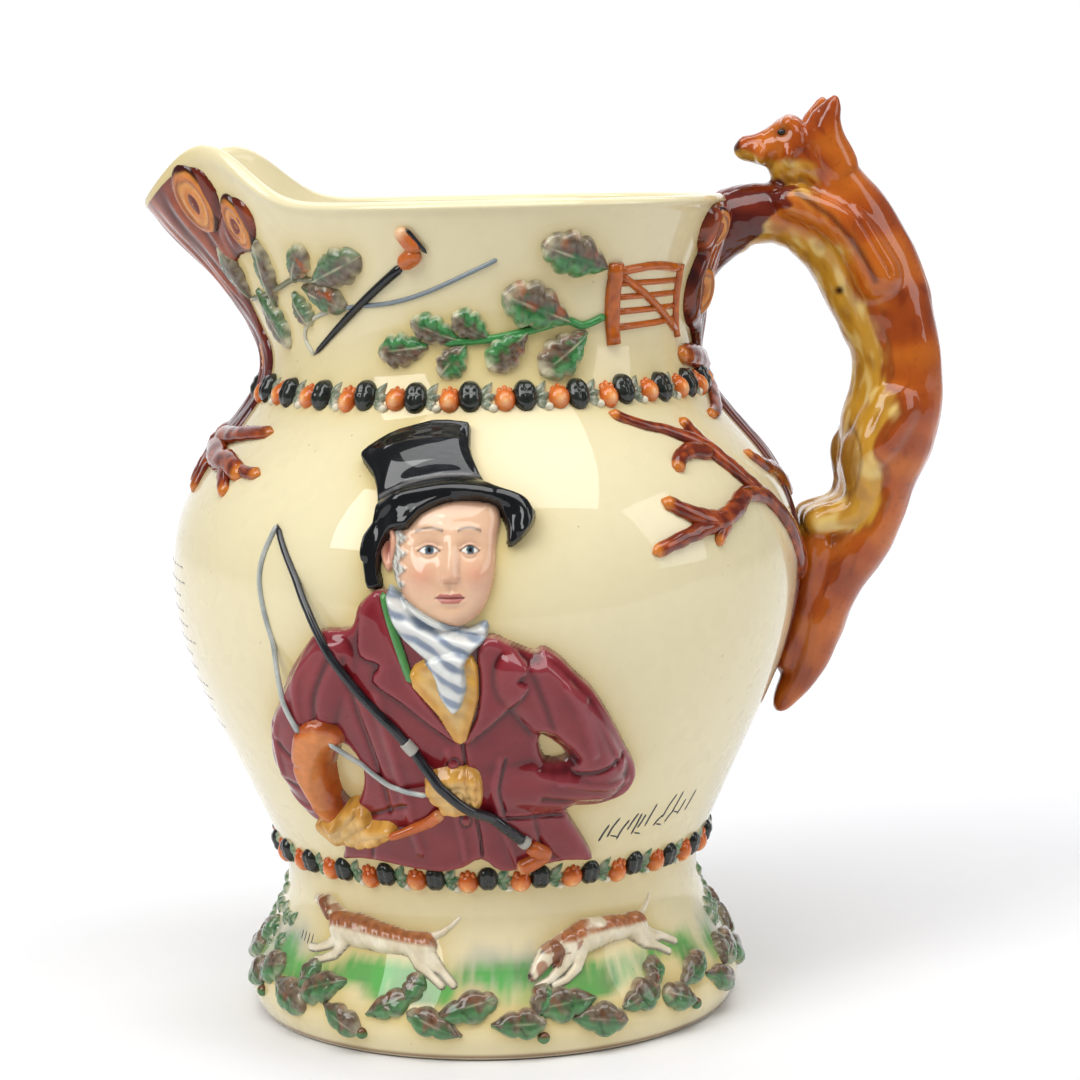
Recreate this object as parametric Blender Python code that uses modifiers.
# Glazed porcelain hunting jug with a fox for a handle and a wind-up music box under its foot.
# Metres, +Z up. The origin is under the middle of the whole piece, on the plane it stands on.
# The handle is at +X, the spout at -X, and the side with the huntsman faces -Y.
# Everything is modelled round the jug's own axis and moved to AXIS_PLACE at the end.
# Angles are degrees round the axis: 0 is the huntsman's side, 90 the handle, -90 the spout.

import math

import bmesh
import bpy
from mathutils import Vector

# Where the jug's axis stands, so that the handle and the spout balance about the origin
AXIS_PLACE = (-0.0167, 0.0024)

# Rings of the turned body: outer radius and height of each
FOOT_RING_RADIUS = 0.0566
FOOT_LIP_RADIUS, FOOT_LIP_HEIGHT = 0.0593, 0.0060
FOOT_FLARE_RADIUS, FOOT_FLARE_HEIGHT = 0.0552, 0.0180
WAIST_RADIUS, WAIST_HEIGHT = 0.0496, 0.0330
HIP_RADIUS, HIP_HEIGHT = 0.0580, 0.0550
LOW_BELLY_RADIUS, LOW_BELLY_HEIGHT = 0.0693, 0.0800
BELLY_RADIUS, BELLY_HEIGHT = 0.0748, 0.1080
THROAT_RADIUS, THROAT_HEIGHT = 0.0524, 0.1500
SHOULDER_RADIUS, SHOULDER_BELOW_THROAT = 0.0666, 0.0180
NECK_RADIUS, NECK_ABOVE_THROAT = 0.0502, 0.0130
RIM_RADIUS, RIM_HEIGHT = 0.0588, 0.1940

# Walls
WALL = 0.0040
RIM_ROUNDING = 0.0018
FLOOR_THICKNESS = 0.0050
FLOOR_TOP = 0.0400
FOOT_WALL = 0.0062
TURNS = 48

# Spout, pulled out of the neck on the side away from the handle
SPOUT_REACH = 0.0210
SPOUT_HALF_ANGLE = 29.3
SPOUT_TURN = -7.0
SPOUT_START_HEIGHT = 0.1530
SPOUT_CREST = 0.0134
SPOUT_CREST_ANGLE = 24.5
SPOUT_CREST_SPREAD = 13.5

# Music box cover, its screws and its key, all inside the foot's recess
COVER_SEAT_HEIGHT = 0.0120
COVER_THICKNESS = 0.0012
COVER_EDGE_GAP = 0.0006
SEAT_WIDTH = 0.0065
FIT_GAP = 0.0003
SCREW_COUNT = 3
SCREW_SHANK_RADIUS = 0.0011
SCREW_HEAD_RADIUS = 0.0024
SCREW_HEAD_THICKNESS = 0.0011
SCREW_LENGTH = 0.0060
KEY_STEM_RADIUS = 0.0020
KEY_STEM_ABOVE_COVER = 0.0060
KEY_WING_SPAN = 0.0190
KEY_WING_HEIGHT = 0.0065
KEY_WING_THICKNESS = 0.0016
KEY_COLLAR_RADIUS = 0.0036
KEY_COLLAR_HEIGHT = 0.0012

# Relief
SINK = 0.0012
FRUIT_COUNT = 27
RED_FRUIT_RADIUS = 0.0027
DARK_FRUIT_RADIUS = 0.0030
LEAF_RELIEF = 0.0024
LEAF_EDGE = 0.0009
BAND_RISE_FROM_WAIST = 0.0077
FOOT_LEAF_COUNT = 22
FOOT_LEAF_LENGTH = 0.0150
FIGURE_ANGLE = -13.0
FIGURE_FOOT_HEIGHT = 0.0440
FIGURE_SCALE = 1.0

# Heights between which the neck relief is drawn, and the rim and belly that the fox is drawn for
NECK_DRAWING = (0.1500, 0.1940)
FOX_DRAWING_RIM = 0.1940
FOX_DRAWING_BELLY = 0.0748

# Branch that carries the handle, and the fox on it
BRANCH_RADIUS = 0.0068
BRANCH_BELOW_RIM = 0.0060
FOX_VOXEL = 0.0014
FOX_TRIANGLES = 1300
JUG_TRIANGLES = 9800

GLAZE = (0.86, 0.78, 0.58, 1.0)
STEEL = (0.62, 0.60, 0.55, 1.0)
BRASS = (0.72, 0.55, 0.25, 1.0)

SHOULDER_HEIGHT = THROAT_HEIGHT - SHOULDER_BELOW_THROAT
NECK_HEIGHT = THROAT_HEIGHT + NECK_ABOVE_THROAT
BRANCH_HEIGHT = RIM_HEIGHT - BRANCH_BELOW_RIM

RINGS = [
    (0.0, FOOT_RING_RADIUS),
    (FOOT_LIP_HEIGHT, FOOT_LIP_RADIUS),
    (FOOT_FLARE_HEIGHT, FOOT_FLARE_RADIUS),
    (WAIST_HEIGHT, WAIST_RADIUS),
    (HIP_HEIGHT, HIP_RADIUS),
    (LOW_BELLY_HEIGHT, LOW_BELLY_RADIUS),
    (BELLY_HEIGHT, BELLY_RADIUS),
    (SHOULDER_HEIGHT, SHOULDER_RADIUS),
    (THROAT_HEIGHT, THROAT_RADIUS),
    (NECK_HEIGHT, NECK_RADIUS),
    (RIM_HEIGHT, RIM_RADIUS),
]


# Surface of the jug
def ring_slopes():
    # Flat where the outline turns back, otherwise the harmonic mean of the two sides
    slopes = []
    for i, (height, radius) in enumerate(RINGS):
        before = RINGS[max(i - 1, 0)]
        after = RINGS[min(i + 1, len(RINGS) - 1)]
        left = (radius - before[1]) / (height - before[0]) if i else None
        right = (after[1] - radius) / (after[0] - height) if after[0] > height else None
        if left is None or right is None:
            slopes.append(right if left is None else left)
        elif left * right <= 0:
            slopes.append(0.0)
        else:
            slopes.append(2 * left * right / (left + right))
    return slopes


SLOPES = ring_slopes()


def turned_radius(height):
    # Radius of the turned body, before the spout is pulled
    height = min(max(height, 0.0), RIM_HEIGHT)
    for i in range(len(RINGS) - 1):
        (low, r0), (high, r1) = RINGS[i], RINGS[i + 1]
        if height <= high:
            span = high - low
            t = (height - low) / span
            return (
                r0 * (2 * t**3 - 3 * t**2 + 1)
                + SLOPES[i] * span * (t**3 - 2 * t**2 + t)
                + r1 * (3 * t**2 - 2 * t**3)
                + SLOPES[i + 1] * span * (t**3 - t**2)
            )
    return RIM_RADIUS


def spout_pull(angle, height):
    # How far a point of the neck moves outwards and upwards for the spout
    share = (height - SPOUT_START_HEIGHT) / (RIM_HEIGHT - SPOUT_START_HEIGHT)
    if share <= 0:
        return 0.0, 0.0
    off = abs((angle + 90.0 - SPOUT_TURN + 180.0) % 360.0 - 180.0)
    out = SPOUT_REACH * math.exp(-((off / SPOUT_HALF_ANGLE) ** 2)) * share**1.6
    crest = math.exp(-(((off - SPOUT_CREST_ANGLE) / SPOUT_CREST_SPREAD) ** 2))
    return out, SPOUT_CREST * crest * share**4


def neck_level(height):
    # Moves a height of the drawing with the throat and the rim
    low, high = NECK_DRAWING
    share = (height - low) / (high - low)
    return THROAT_HEIGHT + share * (RIM_HEIGHT - THROAT_HEIGHT)


def polar(radius, angle, height):
    turn = math.radians(angle)
    return Vector((radius * math.sin(turn), -radius * math.cos(turn), height))


def on_surface(angle, height, lift=0.0):
    # A point at this angle and height, lifted off the outer surface along its normal
    step = 0.0005
    here = polar(turned_radius(height) + spout_pull(angle, height)[0], angle, height)
    above = polar(
        turned_radius(height + step) + spout_pull(angle, height + step)[0],
        angle,
        height + step,
    )
    along = (above - here).normalized()
    sideways = polar(1.0, angle + 90.0, 0.0)
    normal = sideways.cross(along).normalized()
    rise = spout_pull(angle, height)[1]
    return here + Vector((0.0, 0.0, rise)) + normal * lift


# Scene helpers
def start_clean():
    for obj in list(bpy.data.objects):
        bpy.data.objects.remove(obj, do_unlink=True)
    parts = bpy.data.collections.new("hunting_jug")
    relief = bpy.data.collections.new("relief")
    cutters = bpy.data.collections.new("cutters")
    for collection in (parts, relief, cutters):
        bpy.context.scene.collection.children.link(collection)
    return parts, relief, cutters


def material(name, colour, roughness, metallic=0.0):
    made = bpy.data.materials.new(name)
    made.use_nodes = True
    shader = made.node_tree.nodes["Principled BSDF"]
    shader.inputs["Base Color"].default_value = colour
    shader.inputs["Roughness"].default_value = roughness
    shader.inputs["Metallic"].default_value = metallic
    return made


def object_from(name, bm, collection, finish=None):
    mesh = bpy.data.meshes.new(name)
    bmesh.ops.recalc_face_normals(bm, faces=bm.faces)
    bm.to_mesh(mesh)
    bm.free()
    made = bpy.data.objects.new(name, mesh)
    collection.objects.link(made)
    if finish:
        mesh.materials.append(finish)
    return made


def hide_as_guide(obj):
    obj.hide_render = True
    obj.display_type = "WIRE"
    return obj


def tube(name, points, radii, collection, sides=2, closed_end=True):
    # A curve with a round section, its radius set point by point, made a mesh
    curve = bpy.data.curves.new(name, "CURVE")
    curve.dimensions = "3D"
    curve.bevel_depth = 1.0
    curve.bevel_resolution = sides
    curve.use_fill_caps = closed_end
    spline = curve.splines.new("POLY")
    spline.points.add(len(points) - 1)
    for point, place, radius in zip(spline.points, points, radii):
        point.co = (*place, 1.0)
        point.radius = radius
    guide = bpy.data.objects.new(name + "_route", curve)
    collection.objects.link(guide)
    bpy.context.view_layer.update()
    graph = bpy.context.evaluated_depsgraph_get()
    mesh = bpy.data.meshes.new_from_object(guide.evaluated_get(graph))
    bm = bmesh.new()
    bm.from_mesh(mesh)
    bmesh.ops.remove_doubles(bm, verts=bm.verts, dist=1e-6)
    made = object_from(name, bm, collection)
    made.matrix_world = guide.matrix_world
    bpy.data.objects.remove(guide)
    bpy.data.meshes.remove(mesh)
    return made


def smooth_route(points, steps):
    # Catmull-Rom curve through the points, with their radii as the last number
    ends = [points[0], *points, points[-1]]
    made = []
    for i in range(len(points) - 1):
        a, b, c, d = (Vector(p) for p in ends[i : i + 4])
        for k in range(steps):
            t = k / steps
            made.append(
                0.5
                * (
                    2 * b
                    + (c - a) * t
                    + (2 * a - 5 * b + 4 * c - d) * t**2
                    + (3 * b - 3 * c + d - a) * t**3
                )
            )
    made.append(Vector(points[-1]))
    return made


# Turned body
def outer_outline():
    # Closer rings where the outline bends most
    shares = [0.003, 0.015, 0.031, 0.058, 0.088, 0.118, 0.145, 0.170, 0.195, 0.228]
    shares += [0.270, 0.322, 0.380, 0.445, 0.510, 0.572, 0.630, 0.682, 0.728, 0.768]
    shares += [0.810, 0.857, 0.905, 0.945, 0.975]
    return [(turned_radius(RIM_HEIGHT * s), RIM_HEIGHT * s) for s in shares]


def inner_outline():
    # The wall's inner face, square to the outer one, from the rim down to the floor
    lowest = FLOOR_TOP + 0.006
    rows = 8
    made = []
    for i in range(rows):
        height = RIM_HEIGHT - 0.006 - (RIM_HEIGHT - 0.006 - lowest) * i / (rows - 1)
        step = 0.0005
        slope = (turned_radius(height + step) - turned_radius(height - step)) / (2 * step)
        lean = math.hypot(1.0, slope)
        made.append((turned_radius(height) - WALL / lean, height + WALL * slope / lean))
    return made


def vessel_outline():
    # From the middle of the floor, up the inside, over the rim, down the outside,
    # under the foot ring and up the recess to the middle of the recess
    wall_inside = inner_outline()
    floor_edge = wall_inside[-1][0]
    outline = [(0.0, FLOOR_TOP), (floor_edge * 0.85, FLOOR_TOP)]
    outline += wall_inside[::-1]
    for turn in (165.0, 110.0, 70.0, 15.0):
        side = math.radians(turn)
        middle = RIM_RADIUS - WALL / 2
        outline.append(
            (
                middle + WALL / 2 * math.cos(side),
                RIM_HEIGHT - RIM_ROUNDING * (1.0 - math.sin(side)),
            )
        )
    outline += outer_outline()[::-1]
    seat_outer = cover_radius() + COVER_EDGE_GAP
    seat_inner = seat_outer - SEAT_WIDTH
    outline += [
        (FOOT_RING_RADIUS - 0.0016, 0.0),
        (FOOT_RING_RADIUS - 0.0040, 0.0),
        (seat_outer, 0.0022),
        (seat_outer, COVER_SEAT_HEIGHT),
        (seat_inner, COVER_SEAT_HEIGHT),
        (seat_inner, FLOOR_TOP - FLOOR_THICKNESS),
        (0.0, FLOOR_TOP - FLOOR_THICKNESS),
    ]
    return outline


def cover_radius():
    return turned_radius(COVER_SEAT_HEIGHT) - FOOT_WALL - COVER_EDGE_GAP


def screw_circle():
    return cover_radius() + COVER_EDGE_GAP - SEAT_WIDTH / 2


def turn_profile(name, outline, collection, finish, steps=TURNS):
    # Screw runs the outline's points from the first to the last round the axis
    bm = bmesh.new()
    points = [bm.verts.new((radius, 0.0, height)) for radius, height in outline]
    for a, b in zip(points, points[1:]):
        bm.edges.new((a, b))
    mesh = bpy.data.meshes.new(name + "_outline")
    bm.to_mesh(mesh)
    bm.free()
    made = bpy.data.objects.new(name, mesh)
    collection.objects.link(made)
    turn = made.modifiers.new("turn", "SCREW")
    turn.steps = turn.render_steps = steps
    turn.use_merge_vertices = True
    turn.merge_threshold = 0.00005
    apply_modifiers(made)
    made.data.materials.append(finish)
    return made


def apply_modifiers(obj):
    bpy.context.view_layer.update()
    graph = bpy.context.evaluated_depsgraph_get()
    mesh = bpy.data.meshes.new_from_object(obj.evaluated_get(graph))
    obj.modifiers.clear()
    obj.data = mesh
    bm = bmesh.new()
    bm.from_mesh(mesh)
    bmesh.ops.recalc_face_normals(bm, faces=bm.faces)
    bm.to_mesh(mesh)
    bm.free()
    return obj


def pull_spout(vessel):
    for vertex in vessel.data.vertices:
        place = vertex.co
        angle = math.degrees(math.atan2(place.x, -place.y))
        out, rise = spout_pull(angle, place.z)
        radius = math.hypot(place.x, place.y)
        if radius > NECK_RADIUS / 2:
            vertex.co = polar(radius + out, angle, place.z + rise)


# Relief, modelled flat with x along the wall, y up it and z off it, then wrapped
def wrap(obj, angle, height, radius):
    for vertex in obj.data.vertices:
        x, y, lift = vertex.co
        lift = max(lift, -WALL / 2)
        vertex.co = on_surface(angle + math.degrees(x / radius), height + y, lift)
    bm = bmesh.new()
    bm.from_mesh(obj.data)
    bmesh.ops.recalc_face_normals(bm, faces=bm.faces)
    bm.to_mesh(obj.data)
    bm.free()
    return hide_as_guide(obj)


def slab(name, outline, lift, collection, crown=0.0, cell=0.011):
    # A closed slab of this outline, cut into cells so that it can follow the wall
    bm = bmesh.new()
    base = [bm.verts.new((x, y, -SINK)) for x, y in outline]
    face = bm.faces.new(base)
    raised = bmesh.ops.extrude_face_region(bm, geom=[face])
    top = [v for v in raised["geom"] if isinstance(v, bmesh.types.BMVert)]
    middle = sum((v.co for v in top), Vector()) / len(top)
    for vertex in top:
        vertex.co.z = lift
        vertex.co.xy = middle.xy + (vertex.co.xy - middle.xy) * 0.97
    spans = [(min(p[k] for p in outline), max(p[k] for p in outline)) for k in (0, 1)]
    for axis, (low, high) in enumerate(spans):
        count = max(1, round((high - low) / cell))
        normal = Vector((1, 0, 0)) if axis == 0 else Vector((0, 1, 0))
        for i in range(1, count):
            place = normal * (low + (high - low) * i / count)
            everything = bm.verts[:] + bm.edges[:] + bm.faces[:]
            bmesh.ops.bisect_plane(bm, geom=everything, plane_co=place, plane_no=normal)
    if crown:
        for vertex in bm.verts:
            if vertex.co.z > 0 and not on_edge(vertex, outline, middle):
                vertex.co.z += crown
    bmesh.ops.triangulate(bm, faces=bm.faces)
    return object_from(name, bm, collection)


def on_edge(vertex, outline, middle):
    # True within a millimetre and a half of the slab's shrunken outline
    place = vertex.co.xy
    shrunk = [middle.xy + (Vector(p) - middle.xy) * 0.97 for p in outline]
    for a, b in zip(shrunk, shrunk[1:] + shrunk[:1]):
        along = b - a
        t = max(0.0, min(1.0, (place - a).dot(along) / max(along.length_squared, 1e-12)))
        if (place - a - along * t).length < 0.0015:
            return True
    return False


def leaf(name, base, tip, width, radius, collection):
    # A notched leaf from its stalk end to its tip, both as angle and height
    along = Vector((math.radians(tip[0] - base[0]) * radius, tip[1] - base[1]))
    length = along.length
    forward = along.normalized()
    across = Vector((-forward.y, forward.x))
    bm = bmesh.new()

    def point(share, wide, lift):
        flat = forward * (length * share) + across * (width / 2 * wide)
        return bm.verts.new((flat.x, flat.y, lift))

    stalk, end = point(0.0, 0.0, LEAF_EDGE), point(1.0, 0.0, LEAF_EDGE)
    root = point(0.5, 0.0, -SINK * 1.5)
    rib = [point(0.30, 0.0, LEAF_RELIEF), point(0.72, 0.0, LEAF_RELIEF * 0.8)]
    edges = []
    for side in (1, -1):
        lobe = point(0.20, 0.85 * side, LEAF_EDGE)
        notch = point(0.42, 0.55 * side, LEAF_EDGE)
        shoulder = point(0.62, 1.0 * side, LEAF_EDGE)
        edges.append([lobe, notch, shoulder])
        for corners in (
            (stalk, lobe, rib[0]),
            (lobe, notch, rib[0]),
            (notch, rib[1], rib[0]),
            (notch, shoulder, rib[1]),
            (shoulder, end, rib[1]),
        ):
            bm.faces.new(corners if side == 1 else corners[::-1])
    rim = [stalk, *edges[0], end, *edges[1][::-1]]
    for a, b in zip(rim, rim[1:] + rim[:1]):
        bm.faces.new((b, a, root))
    return wrap(object_from(name, bm, collection), base[0], base[1], radius)


def fruit(name, angle, height, size, collection):
    bm = bmesh.new()
    bmesh.ops.create_uvsphere(bm, u_segments=5, v_segments=3, radius=size * 1.1)
    for vertex in bm.verts:
        vertex.co.z = vertex.co.z * 0.95 - size * 0.1
    made = object_from(name, bm, collection)
    return wrap(made, angle, height, turned_radius(height))


def limb(name, route, radius, collection, buried=0.2, steps=2, sides=1):
    # A branch or a limb along the wall: each point is angle, height and thickness
    points = smooth_route([(a / 1000.0, h, t) for a, h, t in route], steps)
    places, sizes = [], []
    for p in points:
        places.append(
            (math.radians(p[0] * 1000.0 - route[0][0]) * radius, p[1] - route[0][1], -p[2] * buried)
        )
        sizes.append(p[2])
    made = tube(name, places, sizes, collection, sides)
    return wrap(made, route[0][0], route[0][1], radius)


def fruit_bands(collection):
    bands = {
        "upper": THROAT_HEIGHT,
        "lower": WAIST_HEIGHT + BAND_RISE_FROM_WAIST,
    }
    pitch = 360.0 / FRUIT_COUNT
    for band, height in bands.items():
        for i in range(FRUIT_COUNT):
            angle = pitch * i
            fruit(f"{band}_red_{i}", angle, height, RED_FRUIT_RADIUS, collection)
            fruit(f"{band}_dark_{i}", angle + pitch * 0.38, height, DARK_FRUIT_RADIUS, collection)


def foot_leaves(collection):
    pitch = 360.0 / FOOT_LEAF_COUNT
    radius = FOOT_LIP_RADIUS
    length = math.degrees(FOOT_LEAF_LENGTH / radius)
    for i in range(FOOT_LEAF_COUNT):
        angle = pitch * i
        rise = 0.0022 * (-1) ** i
        height = FOOT_LIP_HEIGHT + 0.0055
        leaf(
            f"foot_leaf_{i}",
            (angle, height - rise),
            (angle + length, height + rise),
            0.0100,
            radius,
            collection,
        )


def neck_leaves(collection):
    # Stalk end, tip and width of each leaf; heights are above the throat in the drawing
    sprigs = [
        ((18.3, 0.0035), (0.1, 0.0107), 0.0100),
        ((23.2, 0.0013), (9.6, -0.0076), 0.0090),
        ((7.0, 0.0019), (-3.7, -0.0065), 0.0075),
        ((-3.0, 0.0003), (-12.2, 0.0063), 0.0070),
        ((-11.7, -0.0002), (-23.2, 0.0048), 0.0064),
        ((-19.4, -0.0019), (-32.3, -0.0026), 0.0075),
        ((27.8, 0.0153), (9.3, 0.0214), 0.0095),
        ((-51.0, 0.0135), (-35.0, 0.0195), 0.0080),
        ((-65.0, 0.0080), (-66.0, 0.0180), 0.0052),
        ((-54.0, 0.0130), (-41.5, 0.0095), 0.0062),
        ((-60.0, 0.0130), (-54.0, 0.0055), 0.0062),
        ((-74.0, 0.0085), (-70.0, -0.0015), 0.0062),
    ]
    for i, (base, tip, width) in enumerate(sprigs):
        for side in ("front", "back"):
            turn = (lambda a: a) if side == "front" else (lambda a: 180.0 - a)
            leaf(
                f"neck_leaf_{side}_{i}",
                (turn(base[0]), neck_level(0.1630 + base[1])),
                (turn(tip[0]), neck_level(0.1630 + tip[1])),
                width,
                NECK_RADIUS,
                collection,
            )


def branches(collection):
    # Trunks under the spout and under the handle, with the limbs that spread from them
    belly = BELLY_RADIUS
    neck = NECK_RADIUS
    trunk_top = RIM_HEIGHT - 0.008
    spout_trunk = [
        (-90 + SPOUT_TURN, trunk_top + 0.003, 0.0048),
        (-90 + SPOUT_TURN * 0.9, neck_level(0.177), 0.0058),
        (-90 + SPOUT_TURN * 0.6, neck_level(0.165), 0.0050),
        (-90 + SPOUT_TURN * 0.3, neck_level(0.152), 0.0042),
        (-88, 0.1395, 0.0046),
    ]
    handle_trunk = [
        (90, trunk_top - 0.002, 0.0095),
        (90, neck_level(0.174), 0.0086),
        (90, neck_level(0.162), 0.0066),
        (90, 0.148, 0.0056),
        (90, 0.130, 0.0062),
        (90, 0.100, 0.0064),
        (90, 0.070, 0.0044),
        (88, 0.0485, 0.0036),
    ]
    limb("spout_trunk", spout_trunk, neck, collection, 0.5, 2, 2)
    limb("handle_trunk", handle_trunk, belly, collection, 0.5, 2, 2)
    spread = {
        "spout": [
            [(-89, 0.1400, 0.0036), (-74, 0.1400, 0.0026), (-60, 0.1420, 0.0020)],
            [(-89, 0.1400, 0.0038), (-71, 0.1335, 0.0034), (-62, 0.1315, 0.0026)],
            [(-90, 0.1400, 0.0034), (-88, 0.1290, 0.0022), (-86, 0.1240, 0.0016)],
        ],
        "handle": [
            [(80, 0.108, 0.0034), (64, 0.1210, 0.0030), (52, 0.1326, 0.0028),
             (43, 0.1400, 0.0024), (26, 0.1456, 0.0018)],
            [(48, 0.1360, 0.0022), (40, 0.1365, 0.0020), (35.9, 0.1342, 0.0016)],
            [(64, 0.1215, 0.0026), (50, 0.1250, 0.0024), (37, 0.1222, 0.0024),
             (29.0, 0.1270, 0.0019)],
            [(38, 0.1222, 0.0022), (31, 0.1195, 0.0020), (25.0, 0.1166, 0.0018)],
            [(84, neck_level(0.152), 0.0036), (70, neck_level(0.156), 0.0030),
             (58, neck_level(0.1575), 0.0022)],
        ],
    }
    for side, limbs in spread.items():
        for i, route in enumerate(limbs):
            limb(f"{side}_limb_{i}", route, belly, collection)
            mirrored = [(180.0 - a, h, t) for a, h, t in route]
            limb(f"{side}_limb_back_{i}", mirrored, belly, collection)
    knots = [(71, 0.1860, 0.0040), (72, 0.1725, 0.0046), (109, 0.1860, 0.0040),
             (-78, 0.1880, 0.0038), (-116, 0.1880, 0.0038), (-69, 0.1840, 0.0036)]
    for i, (angle, height, size) in enumerate(knots):
        fruit(f"knot_{i}", angle, neck_level(height), size, collection)


def small_trophies(collection):
    # Field gate and riding whip on the neck, front and back
    neck = NECK_RADIUS
    bars = [
        [(30.5, 0.1622, 0.0017), (30.0, 0.1782, 0.0017)],
        [(58.5, 0.1618, 0.0012), (56.0, 0.1778, 0.0012)],
        [(30, 0.1768, 0.0011), (57, 0.1768, 0.0011)],
        [(30, 0.1735, 0.0010), (57, 0.1735, 0.0010)],
        [(30, 0.1690, 0.0010), (57, 0.1690, 0.0010)],
        [(30, 0.1648, 0.0010), (57, 0.1648, 0.0010)],
        [(31, 0.1760, 0.0011), (57, 0.1645, 0.0011)],
        [(-24.5, 0.1795, 0.0010), (-39, 0.1695, 0.0009), (-53.9, 0.1594, 0.0007)],
        [(-22.4, 0.1872, 0.0018), (-19.6, 0.1838, 0.0019), (-24.0, 0.1806, 0.0017)],
    ]
    for i, drawn in enumerate(bars):
        route = [(a, neck_level(h), t) for a, h, t in drawn]
        limb(f"trophy_{i}", route, neck, collection, 0.0, 1, 0)
        mirrored = [(180.0 - a, h, t) for a, h, t in route]
        limb(f"trophy_back_{i}", mirrored, neck, collection, 0.0, 1, 0)


def millimetres(points):
    return [(x / 1000.0 * FIGURE_SCALE, y / 1000.0 * FIGURE_SCALE) for x, y in points]


def huntsman(collection):
    # Half figure in a tall hat, drawn in millimetres on the flat, foot middle at 0, 0
    coat = [(-12, 67), (-17.6, 63.4), (-20.3, 58.3), (-28, 57), (-36, 48.5), (-47.4, 34.4),
            (-49.7, 24), (-47.4, 14), (-36.5, 5.7), (-39.5, 1.2), (-24, 1.5), (-5, -0.3),
            (7, 3), (13, -0.2), (22.7, 0.6), (42, 1.3), (31, 15), (39.4, 15.3), (49.6, 21),
            (48.6, 25), (39.3, 36.6), (29.6, 48), (20.3, 53.2), (11.5, 57), (0, 60)]
    crown = [(-22.3, 94.2), (-13, 99.3), (-4, 100.8), (6.7, 99.8), (6.8, 95.5), (11, 88),
             (5.7, 84.3), (-3.6, 81.5), (-9.9, 78.5), (-14.5, 80.1), (-14.5, 83.5),
             (-17.7, 90.1)]
    brim = [(11, 88.2), (19.1, 85.3), (21.8, 82.3), (16, 75.7), (14.1, 82.5), (5.7, 84.3),
            (-3.6, 81.2), (-10, 78.5), (-12.9, 73.3), (-12.3, 67.6), (-15.1, 66.9),
            (-16.7, 74.1), (-14.7, 80.5), (-6.0, 84.8), (3.0, 87.6)]
    cravat = [(-10.5, 66.5), (8.9, 59), (4.5, 50), (-4, 48)]
    pieces = [("coat", coat, 0.0022, 0.0010), ("crown", crown, 0.0030, 0.0014)]
    pieces += [("brim", brim, 0.0046, 0.0), ("cravat", cravat, 0.0040, 0.0)]
    for name, outline, lift, swell in pieces:
        made = slab("figure_" + name, millimetres(outline), lift, collection, swell)
        wrap(made, FIGURE_ANGLE, FIGURE_FOOT_HEIGHT, BELLY_RADIUS)
    egg_head(collection)
    arms = {
        "arm_left": [(-33, 49, 5.5), (-42, 32, 5.8), (-43, 20, 5.2), (-32, 10.5, 3.8)],
        "hand_left": [(-34, 12, 3.0), (-28, 9.5, 3.4), (-19, 11, 2.6)],
        "arm_right": [(26, 44, 5.5), (40, 29, 6.2), (41, 23, 6.0), (24, 20, 4.8), (8, 22, 3.8)],
        "hand_right": [(5, 23, 3.8), (-2, 23, 3.6)],
        "horn": [(-30, 36, 4.0), (-35.5, 30, 3.2), (-36, 24, 2.6), (-31, 14, 1.6)],
        "whip": [(-41, 79.5, 1.1), (-18.5, 46.3, 1.4), (-2.6, 26.5, 1.8), (19.8, 8.4, 1.4)],
        "whip_grip": [(19, 8, 1.8), (24.5, 6, 1.8), (17.6, 1.6, 1.6)],
    }
    for name, route in arms.items():
        draw_limb("figure_" + name, route, collection)


def draw_limb(name, route, collection):
    # A limb of the figure, its points and thickness in millimetres on the flat
    points = smooth_route([(x, y, t) for x, y, t in route], 2)
    scale = FIGURE_SCALE / 1000.0
    places = [(p[0] * scale, p[1] * scale, -0.15 * p[2] * scale) for p in points]
    made = tube(name, places, [p[2] * scale for p in points], collection, 1)
    wrap(made, FIGURE_ANGLE, FIGURE_FOOT_HEIGHT, BELLY_RADIUS)


def egg_head(collection):
    # Head in profile to the front: an egg, a nose ridge and an ear
    shapes = [
        ("head", (2.0, 73.5), (10.2, 14.5, 5.4)),
        ("nose", (3.2, 70.5), (1.7, 4.0, 7.0)),
        ("ear", (-9.3, 73.0), (2.4, 4.4, 4.4)),
    ]
    for name, middle, size in shapes:
        bm = bmesh.new()
        bmesh.ops.create_uvsphere(bm, u_segments=8, v_segments=5, radius=1.0)
        for vertex in bm.verts:
            x, y, z = vertex.co
            vertex.co = (
                (middle[0] + x * size[0]) / 1000.0 * FIGURE_SCALE,
                (middle[1] + y * size[1]) / 1000.0 * FIGURE_SCALE,
                z * size[2] / 1000.0 * FIGURE_SCALE,
            )
        made = object_from("figure_" + name, bm, collection)
        wrap(made, FIGURE_ANGLE, FIGURE_FOOT_HEIGHT, BELLY_RADIUS)


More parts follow.
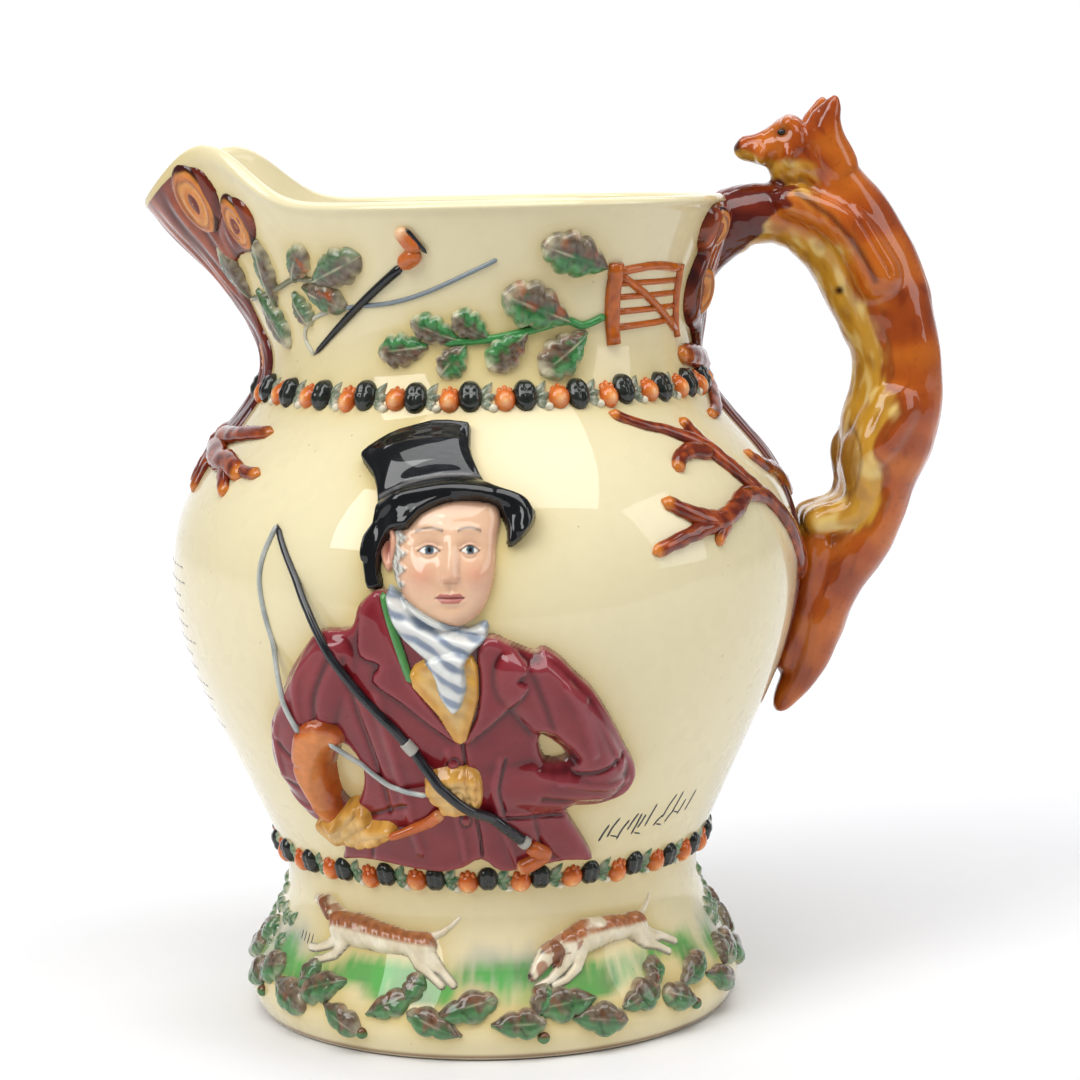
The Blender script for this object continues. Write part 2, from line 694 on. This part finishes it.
def hounds(collection):
    # Running hounds on the foot: each part runs from one point to the next, in
    # millimetres from the hound's chest, with its thickness
    parts = {
        "body": [(-2, 1.5, 2.6), (5, 1.6, 2.7), (13, 0.6, 2.4), (18, -0.2, 2.2)],
        "head": [(-2, 2.5, 2.2), (-5, 5.2, 2.0), (-9, 6.0, 1.1)],
        "fore_leg": [(-1, 0, 1.6), (-6, -3.4, 1.1), (-12, -3.2, 0.9)],
        "hind_leg": [(17, -1, 1.9), (20, -5, 1.3), (27, -8, 0.9)],
        "tail": [(19, 1, 0.9), (23, 4, 0.8), (26, 8, 0.6)],
    }
    places = [(-42, 0.0255), (14, 0.0235), (-100, 0.0250), (138, 0.0245), (194, 0.0240)]
    scale = 0.001
    for i, (angle, height) in enumerate(places):
        radius = turned_radius(height)
        for part, route in parts.items():
            points = smooth_route(route, 2)
            flat = [(p[0] * scale, p[1] * scale, -0.1 * p[2] * scale) for p in points]
            made = tube(f"hound_{i}_{part}", flat, [p[2] * scale for p in points], collection, 1)
            wrap(made, angle, height, radius)


# Fox
def fox(collection):
    # Routes in millimetres in the handle's plane: x outwards, y sideways, z up, thickness
    rump = (98.0, 0.0, 134.0, 11.6)
    routes = {
        "back": [(80, 0, 201.5, 8.6), (86.5, 0, 193, 10.0), (91.5, 0, 181, 11.2),
                 (97.6, 0, 168, 11.4), (100.6, 0, 155, 10.9), (100.6, 0, 143, 11.4),
                 rump, (95.5, 0, 123, 10.4), (91, 0, 113, 9.8)],
        "tail": [(92, 0, 114, 9.0), (86.5, 0, 104, 8.6), (82.2, 0, 94, 7.6),
                 (78.4, 0, 83.5, 6.8), (73.8, 0, 74.5, 5.2), (69.6, 0, 68.0, 2.8)],
        "skull": [(82, 0, 202, 8.8), (76.4, 0, 205.2, 8.2), (70.0, 0, 204.2, 5.6),
                  (64.5, 0, 204.0, 3.8), (61.4, 0, 204.9, 2.6)],
        "chest": [(80, 0, 193, 6.0), (84, 0, 184, 7.0), (90, 0, 172, 7.0)],
    }
    for side in (1, -1):
        routes[f"fore_leg_{side}"] = [
            (95, 7 * side, 168, 5.4), (89.5, 8.4 * side, 180.5, 5.0),
            (81.5, 7.8 * side, 189.0, 4.2), (72.5, 6.0 * side, 190.0, 4.0),
            (69.5, 4.4 * side, 187.0, 3.4),
        ]
        routes[f"hind_leg_{side}"] = [
            (98, 6 * side, 139, 8.0), (91.8, 7.2 * side, 132.5, 6.4),
            (91.5, 6.6 * side, 122, 4.4), (87, 6.4 * side, 114.8, 4.2),
            (78, 6.6 * side, 113.0, 4.2),
        ]
        routes[f"ear_{side}"] = [
            (80.5, 5.4 * side, 207.5, 4.4), (83.6, 6.4 * side, 212.6, 2.9),
            (85.7, 7.0 * side, 216.6, 0.7),
        ]
    pieces = []
    wide = BELLY_RADIUS / FOX_DRAWING_BELLY / 1000.0
    tall = RIM_HEIGHT / FOX_DRAWING_RIM / 1000.0
    for name, route in routes.items():
        points = smooth_route(route, 4)
        places = [Vector((p[0] * wide, p[1] * wide, p[2] * tall)) for p in points]
        sizes = [p[3] * wide for p in points]
        pieces.append(tube("fox_" + name, places, sizes, collection, 4))
        for end in (0, -1):
            pieces.append(ball("fox_end", places[end], sizes[end], collection))
    pieces.append(branch_stub(collection))
    made = join(pieces, "fox")
    grow = made.modifiers.new("one_skin", "REMESH")
    grow.mode = "VOXEL"
    grow.voxel_size = FOX_VOXEL
    soften = made.modifiers.new("soften", "SMOOTH")
    soften.factor = 0.5
    soften.iterations = 2
    apply_modifiers(made)
    thin = made.modifiers.new("thin", "DECIMATE")
    thin.ratio = FOX_TRIANGLES / sum(len(f.vertices) - 2 for f in made.data.polygons)
    apply_modifiers(made)
    return hide_as_guide(made)


def branch_stub(collection):
    # From inside the wall at the rim out to the fox's forepaws
    start = RIM_RADIUS - WALL / 2
    points = [Vector((start + 0.004 * i, 0.0, BRANCH_HEIGHT)) for i in range(6)]
    sizes = [BRANCH_RADIUS * s for s in (0.80, 0.95, 1.0, 0.97, 0.94, 0.90)]
    return tube("fox_branch", points, sizes, collection, 4)


def ball(name, middle, size, collection):
    bm = bmesh.new()
    bmesh.ops.create_uvsphere(bm, u_segments=16, v_segments=10, radius=size)
    bmesh.ops.translate(bm, verts=bm.verts, vec=middle)
    return object_from(name, bm, collection)


def join(pieces, name):
    bm = bmesh.new()
    for piece in pieces:
        bm.from_mesh(piece.data)
    collection = pieces[0].users_collection[0]
    for piece in pieces:
        bpy.data.objects.remove(piece)
    mesh = bpy.data.meshes.new(name)
    bm.to_mesh(mesh)
    bm.free()
    made = bpy.data.objects.new(name, mesh)
    collection.objects.link(made)
    return made


# The jug as one casting
def build_jug(parts, relief, cutters):
    glaze = material("cream_glaze", GLAZE, 0.12)
    jug = turn_profile("jug", vessel_outline(), parts, glaze)
    pull_spout(jug)
    fruit_bands(relief)
    foot_leaves(relief)
    neck_leaves(relief)
    branches(relief)
    small_trophies(relief)
    huntsman(relief)
    hounds(relief)
    fox(relief)
    for piece in relief.objects:
        piece.data.materials.clear()
    cast = jug.modifiers.new("cast_in_one", "BOOLEAN")
    cast.operation = "UNION"
    cast.operand_type = "COLLECTION"
    cast.collection = relief
    cast.solver = "EXACT"
    cast.use_self = True
    apply_modifiers(jug)
    weld_slivers(jug)
    thin = jug.modifiers.new("thin", "DECIMATE")
    thin.ratio = JUG_TRIANGLES / len(jug.data.polygons)
    apply_modifiers(jug)
    drill_plugs(jug, cutters)
    finish(jug, glaze)
    return jug


def drill_plugs(jug, cutters):
    # Blind holes in the seat for the cover's screws
    for i in range(SCREW_COUNT):
        bm = bmesh.new()
        depth = SCREW_LENGTH
        bmesh.ops.create_cone(
            bm,
            cap_ends=True,
            segments=10,
            radius1=SCREW_SHANK_RADIUS + FIT_GAP,
            radius2=SCREW_SHANK_RADIUS + FIT_GAP,
            depth=2 * depth,
        )
        drill = object_from(f"plug_drill_{i}", bm, cutters)
        drill.location = polar(screw_circle(), 360.0 / SCREW_COUNT * i, COVER_SEAT_HEIGHT)
        hide_as_guide(drill)
        cut = jug.modifiers.new(f"plug_{i}", "BOOLEAN")
        cut.operation = "DIFFERENCE"
        cut.object = drill
        cut.solver = "EXACT"
    apply_modifiers(jug)


def weld_slivers(jug):
    # Takes out the slivers that the joins leave
    bm = bmesh.new()
    bm.from_mesh(jug.data)
    bmesh.ops.dissolve_degenerate(bm, dist=0.00002, edges=bm.edges)
    bmesh.ops.triangulate(bm, faces=bm.faces)
    bm.to_mesh(jug.data)
    bm.free()


def finish(jug, glaze):
    bm = bmesh.new()
    bm.from_mesh(jug.data)
    bmesh.ops.triangulate(bm, faces=bm.faces)
    bmesh.ops.recalc_face_normals(bm, faces=bm.faces)
    bm.to_mesh(jug.data)
    bm.free()
    jug.data.materials.clear()
    jug.data.materials.append(glaze)
    jug.data.shade_smooth()
    jug.data.set_sharp_from_angle(angle=math.radians(40))


# Music box, as far as it shows under the foot
def build_cover(parts):
    steel = material("tinned_steel", STEEL, 0.35, 1.0)
    top = COVER_SEAT_HEIGHT - FIT_GAP
    radius = cover_radius()
    hole = KEY_STEM_RADIUS + 0.0005
    outline = [
        (hole, top),
        (hole, top - COVER_THICKNESS),
        (radius * 0.55, top - COVER_THICKNESS),
        (radius * 0.60, top - COVER_THICKNESS - 0.0008),
        (radius * 0.66, top - COVER_THICKNESS),
        (radius - 0.0004, top - COVER_THICKNESS),
        (radius, top - COVER_THICKNESS + 0.0004),
        (radius, top),
        (radius * 0.66, top),
        (radius * 0.60, top - 0.0008),
        (radius * 0.55, top),
        (hole, top),
    ]
    cover = turn_profile("music_box_cover", outline, parts, steel, 36)
    for i in range(SCREW_COUNT):
        bm = bmesh.new()
        wide = SCREW_SHANK_RADIUS + FIT_GAP
        bmesh.ops.create_cone(
            bm, cap_ends=True, segments=10, radius1=wide, radius2=wide, depth=4 * COVER_THICKNESS
        )
        drill = object_from(f"cover_drill_{i}", bm, bpy.data.collections["cutters"])
        drill.location = polar(screw_circle(), 360.0 / SCREW_COUNT * i, top)
        hide_as_guide(drill)
        cut = cover.modifiers.new(f"hole_{i}", "BOOLEAN")
        cut.operation = "DIFFERENCE"
        cut.object = drill
        cut.solver = "EXACT"
    return cover


def build_screws(parts):
    steel = material("screw_steel", STEEL, 0.4, 1.0)
    seat = COVER_SEAT_HEIGHT - FIT_GAP - COVER_THICKNESS - FIT_GAP
    for i in range(SCREW_COUNT):
        outline = [
            (0.0, seat - SCREW_HEAD_THICKNESS),
            (SCREW_HEAD_RADIUS * 0.7, seat - SCREW_HEAD_THICKNESS),
            (SCREW_HEAD_RADIUS, seat - SCREW_HEAD_THICKNESS * 0.5),
            (SCREW_HEAD_RADIUS, seat),
            (SCREW_SHANK_RADIUS, seat),
            (SCREW_SHANK_RADIUS, seat + SCREW_LENGTH - 0.001),
            (0.0, seat + SCREW_LENGTH),
        ]
        screw = turn_profile(f"cover_screw_{i + 1}", outline, parts, steel, 12)
        screw.location = polar(screw_circle(), 360.0 / SCREW_COUNT * i, 0.0)


def build_key(parts):
    # Stem through the cover, a collar on each side of it and two wings to turn it by
    brass = material("key_brass", BRASS, 0.3, 1.0)
    cover_under = COVER_SEAT_HEIGHT - FIT_GAP - COVER_THICKNESS
    collar_top = cover_under - 2 * FIT_GAP
    collar_bottom = collar_top - KEY_COLLAR_HEIGHT
    inner_collar = COVER_SEAT_HEIGHT + FIT_GAP
    outline = [
        (0.0, collar_bottom - KEY_WING_HEIGHT),
        (KEY_STEM_RADIUS * 0.8, collar_bottom - KEY_WING_HEIGHT),
        (KEY_STEM_RADIUS, collar_bottom),
        (KEY_COLLAR_RADIUS, collar_bottom),
        (KEY_COLLAR_RADIUS, collar_top),
        (KEY_STEM_RADIUS, collar_top),
        (KEY_STEM_RADIUS, inner_collar),
        (KEY_COLLAR_RADIUS, inner_collar),
        (KEY_COLLAR_RADIUS, inner_collar + KEY_COLLAR_HEIGHT),
        (KEY_STEM_RADIUS, inner_collar + KEY_COLLAR_HEIGHT),
        (KEY_STEM_RADIUS, COVER_SEAT_HEIGHT + KEY_STEM_ABOVE_COVER),
        (0.0, COVER_SEAT_HEIGHT + KEY_STEM_ABOVE_COVER),
    ]
    key = turn_profile("winding_key", outline, parts, brass, 20)
    half = KEY_WING_SPAN / 2
    low, high = collar_bottom - KEY_WING_HEIGHT, collar_bottom - 0.0002
    waist = low + (high - low) * 0.5
    wing = [(0.0, waist - 0.0016), (half * 0.45, low), (half * 0.8, low), (half, low + 0.0012),
            (half, high - 0.0016), (half * 0.8, high - 0.0004), (half * 0.45, high - 0.0004),
            (0.0, waist + 0.0016)]
    wings = wing + [(-x, z) for x, z in wing[::-1] if x > 0]
    bm = bmesh.new()
    corners = [bm.verts.new((x, -KEY_WING_THICKNESS / 2, z)) for x, z in wings]
    face = bm.faces.new(corners)
    moved = bmesh.ops.extrude_face_region(bm, geom=[face])
    verts = [v for v in moved["geom"] if isinstance(v, bmesh.types.BMVert)]
    bmesh.ops.translate(bm, verts=verts, vec=(0.0, KEY_WING_THICKNESS, 0.0))
    plate = object_from("key_wings", bm, bpy.data.collections["cutters"])
    hide_as_guide(plate)
    weld = key.modifiers.new("wings", "BOOLEAN")
    weld.operation = "UNION"
    weld.object = plate
    weld.solver = "EXACT"
    return key


def main():
    parts, relief, cutters = start_clean()
    build_jug(parts, relief, cutters)
    build_cover(parts)
    build_screws(parts)
    build_key(parts)
    for piece in list(relief.objects):
        bpy.data.objects.remove(piece, do_unlink=True)
    for piece in [*parts.objects, *cutters.objects]:
        piece.location += Vector((*AXIS_PLACE, 0.0))


main()
